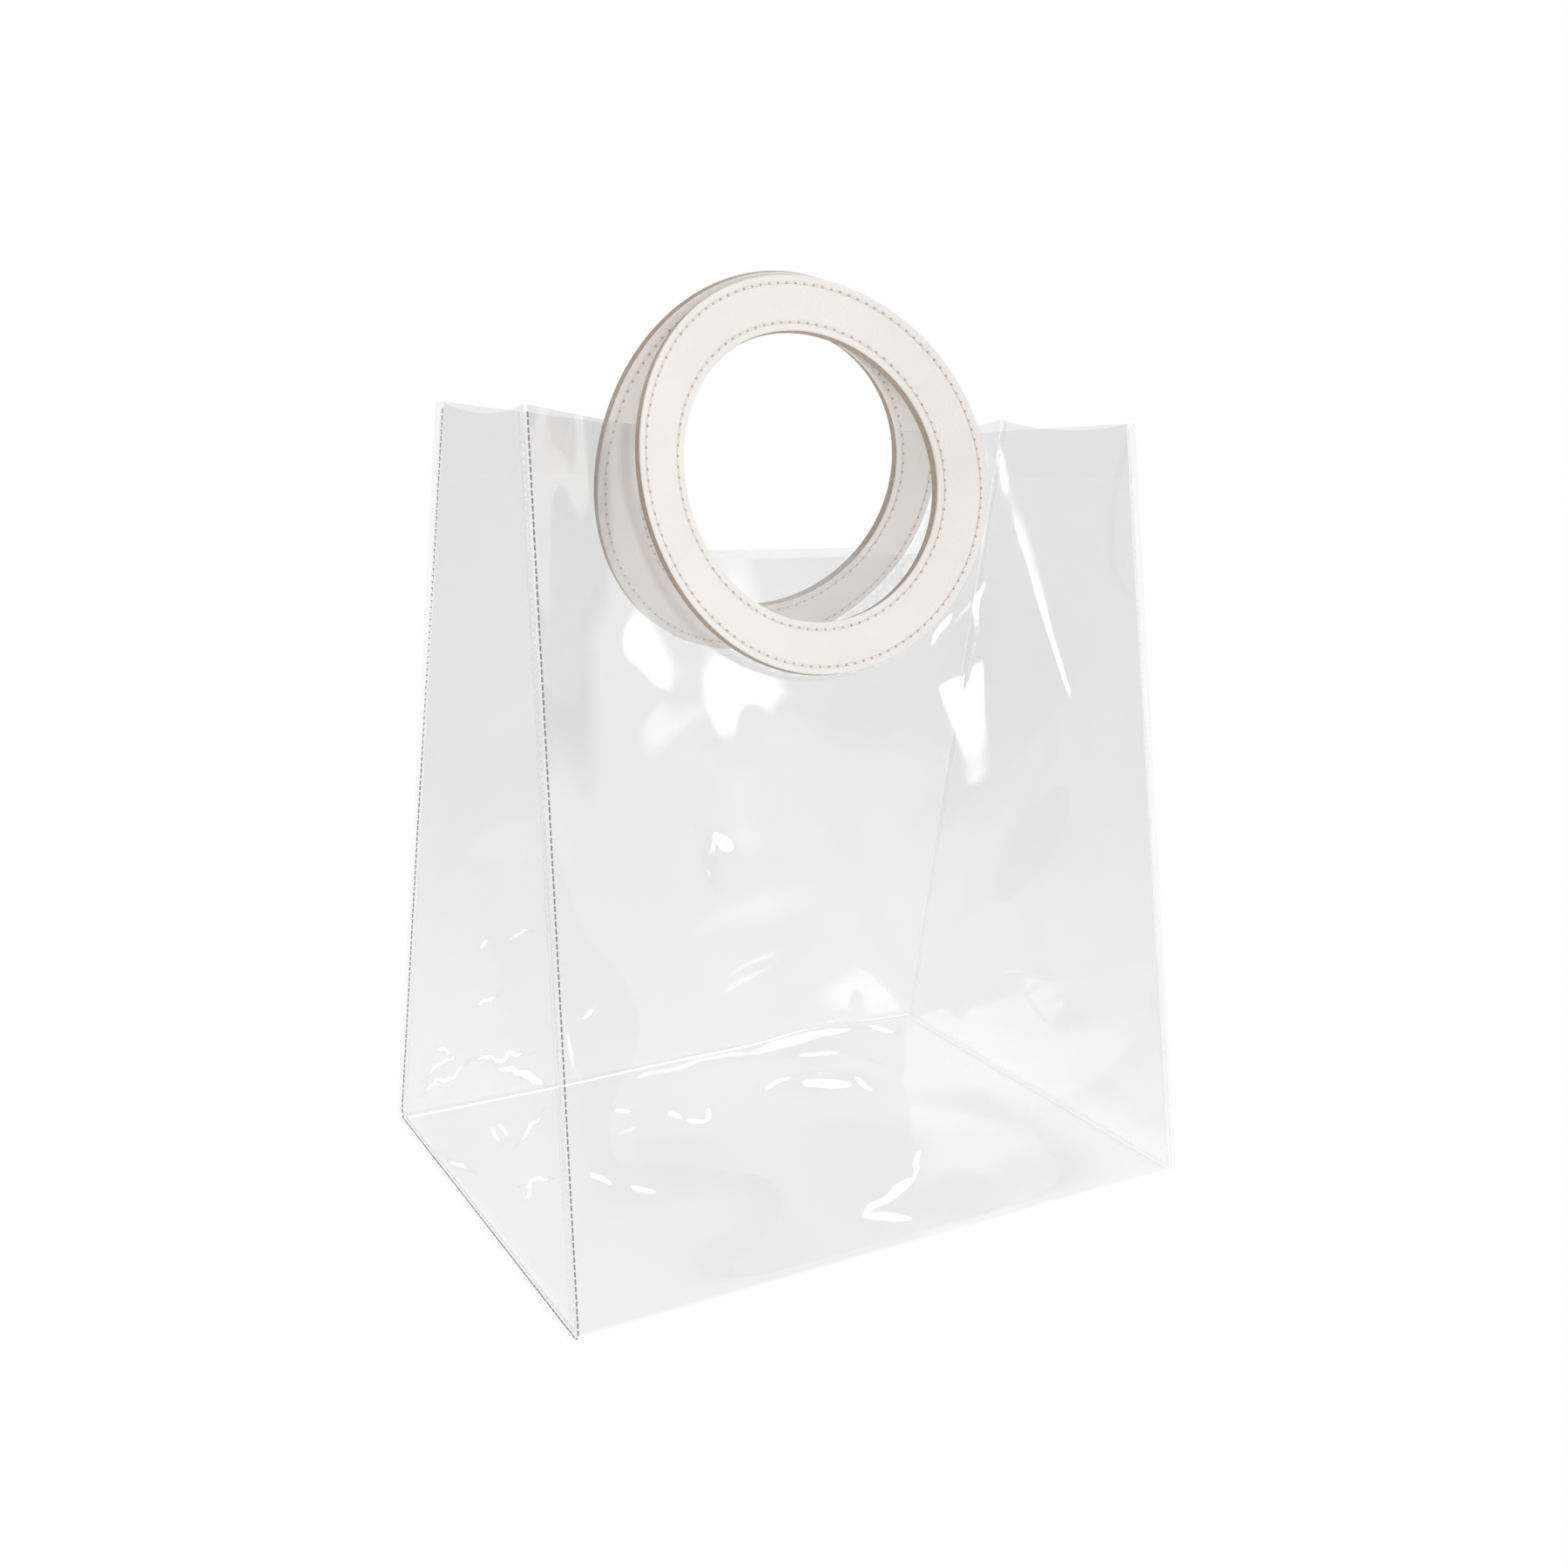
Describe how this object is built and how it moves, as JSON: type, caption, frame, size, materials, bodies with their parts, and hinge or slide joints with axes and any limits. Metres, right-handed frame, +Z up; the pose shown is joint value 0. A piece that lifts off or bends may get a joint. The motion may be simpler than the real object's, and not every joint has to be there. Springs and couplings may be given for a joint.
{
  "type": "clear tote bag",
  "caption": "Clear film tote bag with a folded body, sewn side gussets and a leather ring handle on each panel; it stands on its flat base and is carried by the rings.",
  "frame": {"origin": "middle of the base, on the surface that the bag stands on", "axes": "+Z up to the handles, front panel toward -Y, +X to the right seen from the front"},
  "size_m": [0.25, 0.1774, 0.3286],
  "materials": {
    "clear_film": "glossy clear soft vinyl film",
    "cream_leather": "smooth matt cream leather with tan cut edges"
  },
  "bodies": {
    "root": {"body_sheet": "clear_film", "gusset_left": "clear_film", "gusset_right": "clear_film", "ring_front": "cream_leather", "ring_back": "cream_leather"}
  },
  "joints": []
}
